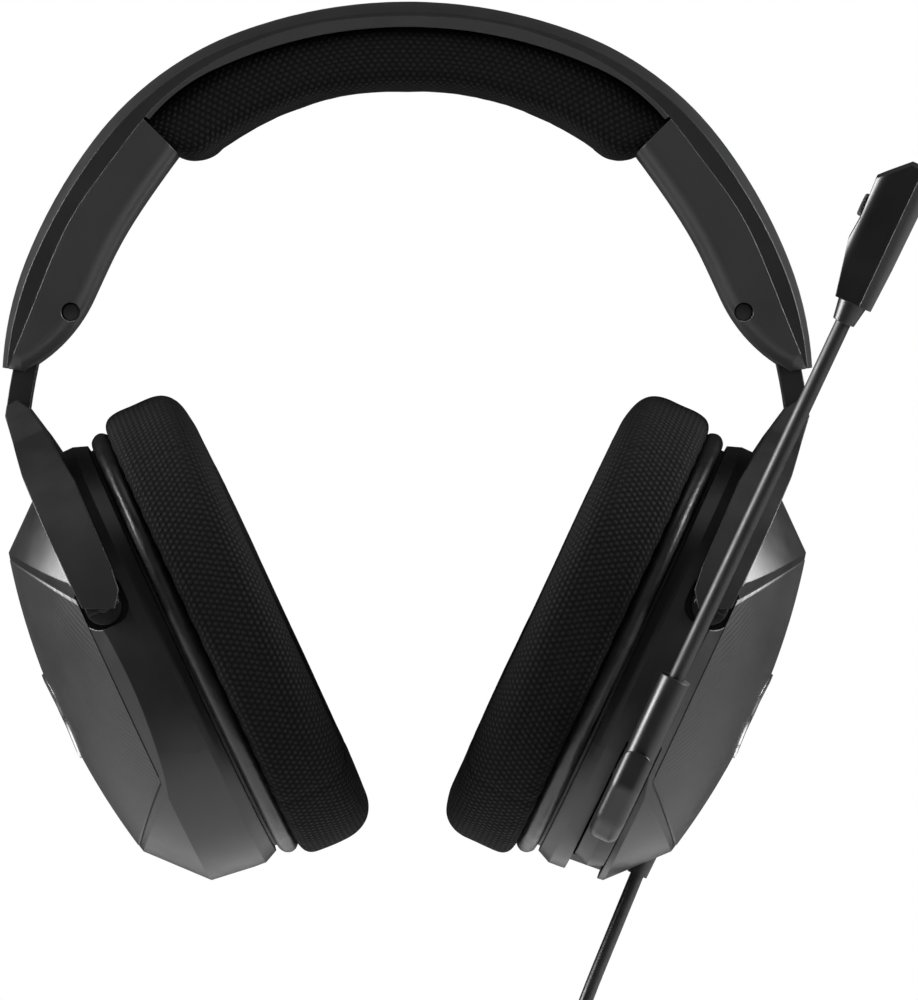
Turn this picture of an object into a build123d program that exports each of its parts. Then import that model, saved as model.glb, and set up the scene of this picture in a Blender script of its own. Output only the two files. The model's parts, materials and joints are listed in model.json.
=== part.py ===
from build123d import *
import os
from math import cos, degrees, pi, radians, sin, sqrt

# Gaming headset, in millimetres.
# Origin: where the pad under the headband rests on the crown of the head, on the middle plane.
# +X is the wearer's left, the side with the microphone, +Y is behind the wearer, +Z is up.
# Cup pieces are drawn in a cup frame: origin on the fork's pivot line, +X out of the head along
# the cup's axis, +Y back, +Z up the cup. The left-hand set is the mirror image of the other.

# ---------------------------------------------------------------- driving dimensions
BAND_TOP = 19.2             # top of the headband shell
SHELL_KNOTS = [(36.6, 12.6), (68.2, -10.9), (82.9, -37.0), (88.0, -60.4)]
SEAM_KNOTS = [(36.0, 8.6), (55.0, -4.4), (64.0, -15.7), (72.4, -27.6), (78.6, -41.0), (86.6, -60.6)]
SEAM_TOP = 15.5             # underside of the shell at the middle
PAD_TOP = 13.2              # underside of the base plate at the middle
CROWN_RADIUS = 55.0         # the shell's roundness from front to back
BAND_HALF_DEPTH = 17.0      # half of the headband's width, front to back, at the top
BAND_TIP_HALF_DEPTH = 11.6  # the same at its lower ends

SLIDE_CENTRE = (-35.2, -85.2)   # X and Z of the centre that a slider band turns about
SLIDE_RADIUS = 120.7            # middle of the band's thickness
BAND_THICK = 1.5
BAND_WIDTH = 9.0
STEM_THICK = 5.0
STEM_WIDTH = 13.0
GUIDE_TOP_DEG = 57.0        # angles from straight up about the slide centre
BAND_TOP_DEG = 59.4
STEM_TOP_DEG = 76.3
BAND_LOW_DEG = 82.0
STEM_LOW_DEG = 82.3
RIVET_DEGS = (78.0, 80.6)
COVER_WALL = 1.8
COVER_SCREW = (72.9, -48.4)     # X and Z of an end cover's screws

CUP_TILT = 25.0             # lean of the cups, tops outward
PIVOT_X = 65.1
PIVOT_Z = -112.0
CUP_CENTRE_Z = -15.4        # middle of the cup, below its pivot
# The housing's ovals: place along the axis, half depth, top, bottom, side radius over half height.
HOUSING_RINGS = [
    (-10.65, 39.8, 33.2, -63.8, 1.5),
    (-7.6, 41.0, 34.35, -65.2, 1.5),
    (-5.0, 41.0, 34.35, -65.0, 1.5),
    (4.8, 40.4, 27.9, -63.7, 1.5),
    (20.0, 29.0, 15.0, -46.9, 2.2),
]
WALL = 2.0
DOME_RADIUS = 155.0         # outer plate's curve from top to bottom
DOME_ROLL = 55.4            # and from front to back
DOME_X = 19.4
DOME_Z = -18.0
PLATE_THICK = 1.95
PLATE_EDGE = 1.1            # housing rim left around the outer plate
FLOOR_THICK = 2.2

CUSHION_HALF_DEPTH = 44.0
CUSHION_HALF_HEIGHT = 53.4
EAR_HALF_DEPTH = 20.0
EAR_HALF_HEIGHT = 29.5
CUSHION_INNER_X = -34.8
CUSHION_OUTER_X = -16.0
PIPING_X = -13.7
PIPING_RADIUS = 2.2

PIN_RADIUS = 1.5
RUNNING = 0.05              # radial clearance of a running fit
HUB_Y = -17.0
HUB_Z = -40.0
HUB_RADIUS = 22.0
HUB_X = (-3.6, 3.1)
BOOM_RADIUS = 1.7
BOOM_LEAN = 8.0             # the raised boom leans forward in the cup's plane
BOOM_FOOT = (-45.3, -26.0)  # Y and Z of a point on the boom's line
BOOM_TOP_ALONG = 98.9       # length along the boom's line from its foot to the capsule
CAPSULE_HALF_DEPTH = 4.6

BADGE_RADIUS = 10.0
BADGE_Z = -17.6
BAFFLE_SCREWS = [(24.0, 15.0), (-24.0, 15.0), (14.0, -53.0)]     # Y and Z in the cup frame
BOARD_X = -7.2               # the circuit board's face towards the ear
BOARD_THICK = 1.2
BOARD_POSTS = [(22.6, -16.5), (22.6, -38.0)]
WHEEL_RADIUS = 8.0
WHEEL_Y = 33.2
WHEEL_Z = -28.0

CABLE_RADIUS = 1.5
# Route of the cable, from the strain relief to the coil.
LEAD_ROUTE = [(49.9, 0, -170.6), (37.0, 0, -202.0), (32.6, -0.5, -218.0), (27.2, -1.5, -230.5),
              (16.5, -3.0, -241.2)]
TAIL_ROUTE = [(16.5, -5.6, -246.0), (16.3, -7.6, -255.0), (16.8, -11.6, -266.0)]
COIL_CENTRE = (31.0, 0.0, -255.7)
COIL_MIDDLE = 17.5          # radius at the middle of the turns
COIL_HALF_BUILD = 4.5       # half of the coil's radial build
COIL_HALF_WIDTH = 6.2
PLUG_RADIUS = 4.0
PLUG_BODY = 20.0
PLUG_SHAFT_RADIUS = 1.75
PLUG_SHAFT = 14.0

NODES = {}


# ---------------------------------------------------------------- shared shapes
def cup_place(shape, side):
    """Put a cup-frame shape in its place, on the +X side or mirrored to the other."""
    placed = Pos(PIVOT_X, 0, PIVOT_Z) * Rot(0, CUP_TILT, 0) * shape
    return placed if side > 0 else mirror(placed, about=Plane.YZ)


def on_side(shape, side):
    """A row-frame shape made for the +X side, or its mirror image."""
    return shape if side > 0 else mirror(shape, about=Plane.YZ)


def side_name(side):
    return "left" if side > 0 else "right"


def oval(half_depth, half_height, x, centre_z=CUP_CENTRE_Z, side_round=1.5):
    """Face of four tangent arcs across the cup's axis; side_round is its side radius over its half height."""
    side_radius = side_round * half_height
    offset = side_radius - half_depth
    end_radius = (side_radius**2 - offset**2 - half_height**2) / (2 * (side_radius - half_height))
    reach = side_radius / (side_radius - end_radius)
    ty = reach * offset - offset
    tz = reach * (half_height - end_radius)
    outline = Wire([
        ThreePointArc((-ty, tz), (0, half_height), (ty, tz)).edge(),
        ThreePointArc((ty, tz), (half_depth, 0), (ty, -tz)).edge(),
        ThreePointArc((ty, -tz), (0, -half_height), (-ty, -tz)).edge(),
        ThreePointArc((-ty, -tz), (-half_depth, 0), (-ty, tz)).edge(),
    ])
    plane = Plane(origin=(x, 0, centre_z), x_dir=(0, 1, 0), z_dir=(1, 0, 0))
    return plane * Face(outline)


def oval_block(half_depth, half_height, x_low, x_high):
    """Straight oval block along the cup's axis."""
    return extrude(oval(half_depth, half_height, x_low), x_high - x_low, dir=(1, 0, 0))


def ring_loft(rings, inset):
    """Solid through the housing's ovals, each drawn in by the inset."""
    faces = []
    for x, half_depth, top, bottom, side_round in rings:
        full = (top - bottom) / 2
        inner_round = (side_round * full - inset) / (full - inset)
        faces.append(oval(half_depth - inset, full - inset, x, (top + bottom) / 2, inner_round))
    return loft(faces, ruled=True)


def dome(offset):
    """Everything under the outer plate's domed surface, moved along its normal."""
    roll = DOME_ROLL + offset
    corner_x, corner_y = roll * cos(radians(72)), roll * sin(radians(72))
    arc = ThreePointArc((corner_x, -corner_y), (roll, 0), (corner_x, corner_y))
    chord = Line((corner_x, corner_y), (corner_x, -corner_y))
    section = Pos(DOME_RADIUS - DOME_ROLL, 0) * make_face([arc.edge(), chord.edge()])
    barrel = revolve(section, axis=Axis.Y, revolution_arc=60)
    return Pos(DOME_X - DOME_RADIUS, 0, DOME_Z) * Rot(0, -30, 0) * barrel


def rod(radius, length, centre, axis):
    """Cylinder about its centre, along X, Y or Z."""
    turn = {"x": Rot(0, 90, 0), "y": Rot(90, 0, 0), "z": Rot(0, 0, 0)}[axis]
    return Pos(*centre) * turn * Cylinder(radius, length)


def block(low, high):
    """Box between two corners."""
    size = [high[i] - low[i] for i in range(3)]
    middle = [(high[i] + low[i]) / 2 for i in range(3)]
    return Pos(*middle) * Box(*size)


def arc_block(r_low, r_high, half_width, deg_high, deg_low):
    """Part of a ring about the slide centre, between two angles from straight up."""
    section = Pos((r_low + r_high) / 2, 0) * Rectangle(r_high - r_low, 2 * half_width)
    arc = revolve(section, axis=Axis.Y, revolution_arc=deg_low - deg_high)
    return Pos(SLIDE_CENTRE[0], 0, SLIDE_CENTRE[1]) * Rot(0, deg_high - 90, 0) * arc


# ---------------------------------------------------------------- headband
def arch_curve(top, knots, flat_end=None):
    """Half of an arch from the middle out, level at the top."""
    points = [(0, top)] + knots
    if flat_end:
        return Spline(*points, tangents=[(1, 0), flat_end])
    arcs = [TangentArc(points[0], points[1], tangent=(1, 0))]
    for start, end in zip(points[1:], points[2:]):
        arcs.append(TangentArc(start, end, tangent=arcs[-1] % 1))
    return Curve() + arcs


def seam_curve():
    """Half of the joint line between shell and end cover, in X and Z."""
    return arch_curve(SEAM_TOP, SEAM_KNOTS, flat_end=(0.39, -0.92))


def upright(shape):
    """Move a flat drawing of X and Y into X and Z, seen from the front."""
    return Plane.XZ * shape


def through(outline, half_depth=30):
    """Block from front to back behind a flat drawing seen from the front."""
    return extrude(Pos(0, half_depth, 0) * upright(outline), 2 * half_depth, dir=(0, -1, 0))


def taper():
    """The headband's width from front to back, which narrows to its ends."""
    top = BAND_HALF_DEPTH
    tip = BAND_TIP_HALF_DEPTH
    mid = (top + tip) / 2 + 1.3
    edges = []
    for sign in (1, -1):
        edges.append(ThreePointArc((sign * top, 3), (sign * mid, -28), (sign * tip, -62)).edge())
    edges += Polyline((top, 3), (top, 30), (-top, 30), (-top, 3)).edges()
    edges += Polyline((tip, -62), (tip, -80), (-tip, -80), (-tip, -62)).edges()
    return extrude(Pos(-100, 0, 0) * (Plane.YZ * make_face(edges)), 200, dir=(1, 0, 0))


def both_halves(outline):
    """Block through the headband from a half outline in X and Z, with its mirror image."""
    half = through(outline)
    return half + mirror(half, about=Plane.YZ)


def crowned_roof():
    """A roof section swept round the arch, crowned from front to back."""
    half = arch_curve(BAND_TOP, SHELL_KNOTS)
    other = mirror(half, about=Plane.YZ)
    path = Wire(upright(half).edges() + upright(other).edges())
    half_depth = BAND_HALF_DEPTH + 1
    drop = CROWN_RADIUS - sqrt(CROWN_RADIUS**2 - half_depth**2)
    crown = ThreePointArc((-half_depth, -drop), (0, 0), (half_depth, -drop))
    skirt = Polyline((half_depth, -drop), (half_depth, -13), (-half_depth, -13), (-half_depth, -drop))
    section = make_face([crown.edge()] + skirt.edges())
    start = Plane(origin=path @ 0, x_dir=(0, 1, 0), z_dir=path % 0)
    return sweep(start * section, path=path)


def guide_space(clearance):
    """The curved space that the guide and the fork's stem take up in the headband's end."""
    half_thick = STEM_THICK / 2 + clearance
    return arc_block(SLIDE_RADIUS - half_thick, SLIDE_RADIUS + half_thick, STEM_WIDTH / 2 + clearance,
                     GUIDE_TOP_DEG - 0.3, STEM_LOW_DEG)


def band_space(clearance, deg_high, deg_low):
    """The steel slider band between two angles, with a clearance all round."""
    half_thick = BAND_THICK / 2 + clearance
    return arc_block(SLIDE_RADIUS - half_thick, SLIDE_RADIUS + half_thick, BAND_WIDTH / 2 + clearance,
                     deg_high, deg_low)


def headband_shell():
    tip = SEAM_KNOTS[-1]
    cut_line = Polyline(tip, (100, tip[1] + 2.5), (100, 60), (0, 60), (0, SEAM_TOP))
    above_seam = both_halves(make_face([seam_curve().edge()] + cut_line.edges()))
    shell = crowned_roof() & above_seam & taper()
    for side in (1, -1):
        shell -= on_side(guide_space(0.15), side)
    return shell - wire_run(1.1)


def plate_curve():
    """Half of the base plate's underside."""
    return TangentArc((0, PAD_TOP), (42.2, 3.8), tangent=(1, 0))


def base_plate():
    """Strip between shell and pad, which thins out where the end covers begin."""
    seam = seam_curve().trim(0, 0.5)
    under = plate_curve()
    low_end = TangentArc(under @ 1, (55.8, -6.8), tangent=under % 1)
    joints = [Line(seam @ 1, low_end @ 1).edge(), Line((0, PAD_TOP), (0, SEAM_TOP)).edge()]
    plate = both_halves(make_face([seam.edge(), under.edge(), low_end.edge()] + joints)) & taper()
    return plate - wire_run(1.1)


def wire_run(radius):
    """The wire's way through the arch, half in the shell and half in the base plate."""
    half = Spline((0, SEAM_TOP), (36.0, 8.6), (55.0, -4.4), tangents=[(1, 0), (0.72, -0.69)])
    other = mirror(half, about=Plane.YZ)
    path = Wire(upright(half).edges() + upright(other).edges())
    start = Plane(origin=path @ 0, z_dir=path % 0)
    return sweep(start * Circle(radius), path=path)


def headband_pad():
    """Foam pad with its fabric, fat in the middle and rolled under at both ends."""
    top = TangentArc((0, PAD_TOP - 0.1), (42.2, 3.65), tangent=(1, 0))
    shoulder = TangentArc((42.2, 3.65), (54.8, -6.2), tangent=top % 1)
    end = Polyline(shoulder @ 1, (54.6, -8.6), (49.6, -13.5))
    roll = ThreePointArc((49.6, -13.5), (45.4, -15.1), (41.2, -13.2))
    under = ThreePointArc((41.2, -13.2), (22.2, -3.2), (0, 0))
    middle = Line((0, 0), (0, PAD_TOP - 0.1))
    outline = make_face([top.edge(), shoulder.edge()] + end.edges()
                        + [roll.edge(), under.edge(), middle.edge()])
    pad = both_halves(outline) & extrude(Plane.XY * RectangleRounded(140, 31, 6), 40, both=True)
    return pad


def end_cover(side):
    """Hollow side piece under the shell's end, rounded towards the head."""
    outer = seam_curve().trim(0.505, 1.0)
    corner = (49.6, -14.1)
    low_corner = (68.3, -45.6)
    lip = (79.9, -59.3)
    upper_end = Line(outer @ 0, corner)
    inner = Spline(corner, (55.8, -22.7), (62.5, -33.4), low_corner, tangents=[(0.6, -0.8), (0.42, -0.91)])
    chin = TangentArc(low_corner, lip, tangent=inner % 1)
    foot = Polyline(lip, (83.1, -61.2), outer @ 1)
    outline = make_face([outer.edge(), upper_end.edge(), inner.edge(), chin.edge()] + foot.edges())
    cover = through(outline) & taper()

    def on_inner_rim(edge):
        place = edge.center()
        on_side_face = abs(place.Y) > 10 and edge.length > 3
        return on_side_face and (place.X < 74 and place.Z < -20 or place.X > 75 and place.Z < -58)

    cover = fillet(cover.edges().filter_by(on_inner_rim), 4.0)
    hollow = arc_block(113.4, SLIDE_RADIUS, BAND_TIP_HALF_DEPTH - COVER_WALL, 53.5, 66.0)
    cover = cover - hollow - guide_space(0.15)
    for sign in (1, -1):
        cover -= cover_screw_hole(sign)
    return on_side(cover, side)


def cover_screw_hole(sign):
    """Recess for a screw head with the bore for its shank."""
    x, z = COVER_SCREW
    head = rod(2.0, 14.0, (x, sign * 13.6, z), "y")
    return head + rod(0.9, 6.0, (x, sign * 4.5, z), "y")


def cover_screws():
    """The four recessed screws that hold the end covers."""
    x, z = COVER_SCREW
    screws = []
    for side in (1, -1):
        for sign in (1, -1):
            head = rod(1.7, 1.4, (side * x, sign * 7.35, z), "y")
            socket = rod(0.8, 1.0, (side * x, sign * 7.7, z), "y")
            screws.append(head - socket + rod(0.88, 4.6, (side * x, sign * 4.4, z), "y"))
    return Compound(screws)


def slider_guide(side):
    """Guide block with the curved channel for the slider band and a window for its spring."""
    half_thick = STEM_THICK / 2
    guide = arc_block(SLIDE_RADIUS - half_thick, SLIDE_RADIUS + half_thick, STEM_WIDTH / 2,
                      GUIDE_TOP_DEG, STEM_TOP_DEG - 0.3)
    guide -= band_space(0.3, GUIDE_TOP_DEG - 1, STEM_TOP_DEG + 1)
    window = arc_block(SLIDE_RADIUS - 3, SLIDE_RADIUS - 0.9, 3.0, 63.0, 70.0)
    return on_side(guide - window, side)


def detent_spring(side):
    """Leaf spring that clicks into the band's notches."""
    low = SLIDE_RADIUS - BAND_THICK / 2 - 0.9
    leaf = arc_block(low, low + 0.4, 2.6, 63.1, 69.9)
    return on_side(leaf, side)


def headband_wire():
    """Wire between the cups, where it runs through the arch."""
    return wire_run(1.0)


# ---------------------------------------------------------------- forks
def slider_band(side):
    """Curved steel band with click notches along both edges."""
    band = band_space(0, BAND_TOP_DEG, BAND_LOW_DEG)
    for step in range(9):
        angle = radians(BAND_TOP_DEG + 1.2 + 1.4 * step)
        x = SLIDE_CENTRE[0] + SLIDE_RADIUS * sin(angle)
        z = SLIDE_CENTRE[1] + SLIDE_RADIUS * cos(angle)
        for sign in (1, -1):
            notch = Pos(x, sign * BAND_WIDTH / 2, z) * Rot(0, degrees(angle), 0) * Cylinder(0.8, 6)
            band -= notch
    for angle in RIVET_DEGS:
        band -= rivet_shape(angle, 0)
    return on_side(band, side)


def rivet_shape(deg, head):
    """Rivet through stem and band, pointing at the slide centre; head is its rim on each side."""
    angle = radians(deg)
    x = SLIDE_CENTRE[0] + SLIDE_RADIUS * sin(angle)
    z = SLIDE_CENTRE[1] + SLIDE_RADIUS * cos(angle)
    body = Cylinder(1.0, STEM_THICK - 1.2)
    if head:
        body += Pos(0, 0, -STEM_THICK / 2 + 0.6) * Cylinder(1.8, 0.8)
    return Pos(x, 0, z) * Rot(0, deg, 0) * body


def band_rivets(side):
    """Two rivets that hold the slider band in the fork's stem."""
    return on_side(Compound([rivet_shape(angle, 1) for angle in RIVET_DEGS]), side)


def fork_yoke(side):
    """Stem, crown and two arms that straddle the cup, with an eye inside each arm's end."""
    edge = Polyline((86.9, -68.7), (87.2, -71.0), (82.9, -84.1), (78.0, -95.1), (69.6, -112.4),
                    (62.5, -112.4), (61.7, -108.4), (63.4, -103.3), (71.5, -85.0), (77.8, -75.0),
                    (81.9, -69.3), (84.6, -67.5), close=True)
    seen_from_front = through(make_face(edge.edges()), 60)
    arch = oval_block(46.0, 58.5, -30, 40)
    shoulders = make_face(Polyline((-20, 36), (-9.5, 45.6), (-6.5, 50), (-6.5, 70), (6.5, 70), (6.5, 50),
                                   (9.5, 45.6), (20, 36), close=True).edges())
    arch += extrude(Pos(-30, 0, 0) * (Plane.YZ * shoulders), 70, dir=(1, 0, 0))
    arch -= oval_block(42.0, 54.0, -31, 41)
    arch -= block((-40, -60, -90), (50, 60, -6))
    fork = seen_from_front & cup_place(arch, 1)
    half_thick = STEM_THICK / 2
    fork += arc_block(SLIDE_RADIUS - half_thick, SLIDE_RADIUS + half_thick, STEM_WIDTH / 2,
                      STEM_TOP_DEG, STEM_LOW_DEG)
    for sign in (1, -1):
        tongue = block((-3.6, 38.2, -0.6), (3.6, 41.6, 5.0))
        eye = rod(4.0, 5.4, (0, 36.2, 0), "y")
        bore = rod(PIN_RADIUS + RUNNING, 20, (0, 36.2, 0), "y")
        end = tongue + eye - bore
        fork += cup_place(turned(end, sign), 1)
    fork -= cup_place(rod(PIN_RADIUS + RUNNING, 79.0, (0, 0, 0), "y"), 1)
    fork -= band_space(0, STEM_TOP_DEG - 2, BAND_LOW_DEG)
    for angle in RIVET_DEGS:
        fork -= rivet_shape(angle, 1)
    return on_side(fork, side)


# ---------------------------------------------------------------- ear cups
def plate_region(inset):
    """The chamfered upper part of the housing, drawn in, that bounds the outer plate."""
    return ring_loft(HOUSING_RINGS[-2:], inset)


def housing_posts(side):
    """Screw posts, circuit board posts and the microphone's boss, from the floor down."""
    posts = [rod(2.6, 30.0, (4.35, y, z), "x") for y, z in BAFFLE_SCREWS]
    if side > 0:
        posts.append(rod(4.0, 20.0, (HUB_X[1] + 0.35 + 10.0, HUB_Y, HUB_Z), "x"))
        posts += [rod(1.6, 24.0, (BOARD_X + BOARD_THICK + 12.0, y, z), "x") for y, z in BOARD_POSTS]
    return posts


def cup_housing(side):
    """Bowl of the ear cup, with its rim towards the head and a seat for the outer plate."""
    outer = ring_loft(HOUSING_RINGS, 0) & dome(-0.1)
    rings = [(HOUSING_RINGS[0][0] - 0.5, *HOUSING_RINGS[0][1:])] + HOUSING_RINGS[1:]
    hollow = ring_loft(rings, WALL) & dome(-PLATE_THICK - FLOOR_THICK)
    pocket = block((-7.4, 31.4, -6.6), (7.4, 39.5, 8.6))
    hollow -= pocket + turned(pocket, -1)
    opening = block((-5.3, 33.3, -4.6), (5.3, 50.0, 6.6))
    opening = fillet(opening.edges().filter_by(Axis.Y), 4.0)
    posts = housing_posts(side)
    if side > 0:
        outer -= microphone_slot()
        posts = [post - microphone_slot() for post in posts]
    housing = outer - hollow - (opening + turned(opening, -1))
    housing -= plate_region(PLATE_EDGE) - dome(-PLATE_THICK - 0.05)
    inside = ring_loft(HOUSING_RINGS, WALL / 2) & dome(-PLATE_THICK - 1.0)
    for post in posts:
        housing += post & inside
    housing -= rod(PIN_RADIUS, 70.0, (0, 0, 0), "y")
    for y, z in BAFFLE_SCREWS:
        housing -= rod(0.9, 10.0, (-7.65, y, z), "x")
    if side > 0:
        housing -= rod(PIN_RADIUS, 9.0, (HUB_X[1] + 4.0, HUB_Y, HUB_Z), "x")
        housing -= rod(WHEEL_RADIUS + 0.4, 4.8, (0, WHEEL_Y, WHEEL_Z), "x")
        housing -= gland_shape(0.0)
    return cup_place(housing, side)


def turned(shape, sign):
    """A shape drawn at the back of the cup, or turned round to the front."""
    return shape if sign > 0 else Rot(0, 0, 180) * shape


def microphone_slot():
    """Room for the round hub, and for the arm to swing from up to down and forward."""
    low, high = HUB_X[0] - 0.35, HUB_X[1] + 0.35
    middle = ((low + high) / 2, HUB_Y, HUB_Z)
    hub_room = rod(HUB_RADIUS + 0.6, high - low, middle, "x")
    front = HUB_Y - 60
    sector = make_face(Polyline((HUB_Y, HUB_Z), (front, HUB_Z + 6), (front, HUB_Z - 60),
                                (HUB_Y + 60, HUB_Z - 47), close=True).edges())
    return hub_room + extrude(Pos(low, 0, 0) * (Plane.YZ * sector), high - low, dir=(1, 0, 0))


def outer_plate(side):
    plate = (plate_region(PLATE_EDGE + 0.15) & dome(0)) - dome(-PLATE_THICK)
    return cup_place(plate, side)


def emblem_ring(side):
    """Plain ring badge on the outer plate."""
    centre = (DOME_X, 0, BADGE_Z)
    ring = rod(BADGE_RADIUS, 12, centre, "x") - rod(BADGE_RADIUS - 1.2, 12, centre, "x")
    return cup_place((ring & dome(0.4)) - dome(0), side)


def pivot_pins(side):
    """The two pins that a cup tilts on."""
    pins = [rod(PIN_RADIUS, 7.6, (0, sign * 35.0, 0), "y") for sign in (1, -1)]
    return cup_place(Compound(pins), side)


def baffle_plate(side):
    """Plate that closes the bowl towards the ear and carries the driver."""
    low = HOUSING_RINGS[0][0] - 2.0
    plate = oval_block(37.2, 45.3, low, low + 1.2) + oval_block(38.6, 47.3, low + 1.2, low + 1.95)
    plate += oval_block(37.4, 46.1, low + 1.95, low + 4.0) - oval_block(35.6, 44.3, low + 1.95, low + 4.0)
    for y, z in BAFFLE_SCREWS:
        plate -= rod(3.0, 2.2, (low + 3.1, y, z), "x")
        plate -= rod(1.1, 10, (low, y, z), "x")
    plate -= rod(18.1, 12, (low, 0, CUP_CENTRE_Z), "x")
    if side > 0:
        plate -= rod(HUB_RADIUS + 1.2, 3.0, (low + 3.45, HUB_Y, HUB_Z), "x")
    return cup_place(plate, side)


def baffle_screws(side):
    low = HOUSING_RINGS[0][0] - 2.0
    screws = []
    for y, z in BAFFLE_SCREWS:
        head = rod(1.9, 1.0, (low - 0.55, y, z), "x") - rod(0.8, 0.8, (low - 0.9, y, z), "x")
        screws.append(head + rod(0.88, 8.0, (low + 3.9, y, z), "x"))
    return cup_place(Compound(screws), side)


def driver(side):
    """Loudspeaker basket with its magnet, seen in half section and turned."""
    low = HOUSING_RINGS[0][0] - 2.0
    half = make_face(Polyline((low - 0.9, 15.6), (low - 0.9, 20.0), (low - 0.05, 20.0), (low - 0.05, 18.0),
                              (low + 4.5, 16.5), (low + 5.0, 10.0), (low + 7.6, 10.0), (low + 7.6, 0),
                              (low + 2.6, 0), (low + 2.6, 14.0), (low + 0.6, 15.6), close=True).edges())
    basket = revolve(half, axis=Axis.X)
    return cup_place(Pos(0, 0, CUP_CENTRE_Z) * basket, side)


def driver_diaphragm(side):
    """Thin domed cone in the driver's mouth."""
    low = HOUSING_RINGS[0][0] - 2.0
    half = make_face(Polyline((low + 0.6, 15.2), (low + 1.7, 8.0), (low - 0.4, 0), (low + 0.1, 0),
                              (low + 2.1, 8.0), (low + 1.0, 15.2), close=True).edges())
    return cup_place(Pos(0, 0, CUP_CENTRE_Z) * revolve(half, axis=Axis.X), side)


def acoustic_cloth(side):
    """Thin felted cloth over the driver, at the bottom of the ear opening."""
    low = HOUSING_RINGS[0][0] - 4.4
    return cup_place(oval_block(24.0, 33.5, low, low + 0.8), side)


def cushion_frame(side):
    """Plastic ring that the cushion's skin is gathered round."""
    low = HOUSING_RINGS[0][0] - 4.4
    ring = oval_block(36.6, 45.0, low, low + 1.2) - oval_block(24.6, 34.1, low, low + 1.2)
    return cup_place(ring, side)


def cushion_piping(side):
    """Leatherette roll round the back of the cushion."""
    line = oval(CUSHION_HALF_DEPTH - 4.3, CUSHION_HALF_HEIGHT - 5.6, PIPING_X).wires()[0]
    start = Plane(origin=line @ 0, x_dir=(1, 0, 0), z_dir=line % 0)
    return cup_place(sweep(start * Circle(PIPING_RADIUS), path=line), side)


def ear_cushion(side):
    """Foam ring in its fabric, rounded at every rim."""
    cushion = oval_block(CUSHION_HALF_DEPTH, CUSHION_HALF_HEIGHT, CUSHION_INNER_X, CUSHION_OUTER_X)
    rims = cushion.faces().sort_by(Axis.X)
    cushion = fillet(rims[0].edges() + rims[-1].edges(), 5.0)
    cushion -= oval_block(EAR_HALF_DEPTH, EAR_HALF_HEIGHT, CUSHION_INNER_X - 1, CUSHION_OUTER_X + 1)
    return cup_place(cushion, side)


# ---------------------------------------------------------------- electronics
def circuit_board():
    board = block((BOARD_X, 20.6, -40.4), (BOARD_X + BOARD_THICK, 33.4, -14.4))
    return cup_place(board, 1)


def volume_wheel():
    """Thumbwheel that stands out of a slot at the back of the cup."""
    wheel = rod(WHEEL_RADIUS, 4.0, (0, WHEEL_Y, WHEEL_Z), "x")
    for step in range(30):
        groove = rod(0.3, 5.0, (0, WHEEL_RADIUS + 0.1, 0), "x")
        groove = Pos(0, WHEEL_Y, WHEEL_Z) * Rot(12 * step, 0, 0) * groove
        wheel -= groove
    wheel -= rod(1.0 + RUNNING, 6.0, (0, WHEEL_Y, WHEEL_Z), "x")
    return cup_place(wheel, 1)


def wheel_shaft():
    """Potentiometer with the shaft that the wheel turns on, soldered to the board."""
    body = block((BOARD_X + BOARD_THICK, WHEEL_Y - 8.0, WHEEL_Z - 4.0), (-2.6, WHEEL_Y + 2.0, WHEEL_Z + 4.0))
    return cup_place(body + rod(1.0, 4.6, (-0.35, WHEEL_Y, WHEEL_Z), "x"), 1)


# ---------------------------------------------------------------- microphone
def boom_frame(shape):
    """Put a shape drawn about the boom's line, +Z along it, into the cup frame."""
    return Pos(0, *BOOM_FOOT) * Rot(BOOM_LEAN, 0, 0) * shape


def boom_height(z):
    """Distance along the boom's line for a height in the cup frame."""
    return (z - BOOM_FOOT[1]) / cos(radians(BOOM_LEAN))


def mic_arm():
    """Round hub in the housing's slot, with a neck and a stub that carries the boom."""
    low, high = HUB_X
    mid = (low + high) / 2
    half = make_face(Polyline((low, 0), (low, HUB_RADIUS - 1.4), (mid, HUB_RADIUS), (high, HUB_RADIUS - 1.4),
                              (high, 0), close=True).edges())
    hub = Pos(0, HUB_Y, HUB_Z) * revolve(half, axis=Axis.X)
    recess = rod(HUB_RADIUS - 4.0, 4.2, (low + 2.1, HUB_Y, HUB_Z), "x")
    hub -= recess - rod(4.0, 6.0, (mid, HUB_Y, HUB_Z), "x")
    neck = make_face(Polyline((-41.8, -35.0), (-49.0, -35.0), (-48.2, -43.0), (-44.6, -51.5), (-37.5, -57.5),
                              (-32.0, -50.0), (-37.2, -41.0), close=True).edges())
    neck = fillet(neck.vertices().filter_by(lambda corner: corner.Y < -36.0 and corner.X < -37.4), 5.0)
    neck = extrude(Pos(low, 0, 0) * (Plane.YZ * neck), high - low, dir=(1, 0, 0))
    neck = fillet(neck.faces().filter_by(Axis.X).edges(), 2.2)
    arm = hub + neck
    stub_low, stub_high = boom_height(-38.0), boom_height(-17.0)
    stub = Pos(mid, 0, (stub_low + stub_high) / 2) * Box(high - low, 7.2, stub_high - stub_low)
    stub = fillet(stub.edges().filter_by(Axis.Z), 3.0)
    arm += boom_frame(stub)
    arm -= boom_frame(Pos(mid, 0, stub_high - 4) * Cylinder(BOOM_RADIUS, 8.01))
    arm -= rod(PIN_RADIUS + RUNNING, 20, (mid, HUB_Y, HUB_Z), "x")
    return cup_place(arm, 1)


def mic_pivot_pin():
    """Pin that the microphone's hub turns on, with its retaining washer."""
    pin = rod(PIN_RADIUS, 13.4, (1.3, HUB_Y, HUB_Z), "x")
    return cup_place(pin + rod(3.4, 0.8, (HUB_X[0] - 0.8, HUB_Y, HUB_Z), "x"), 1)


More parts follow.
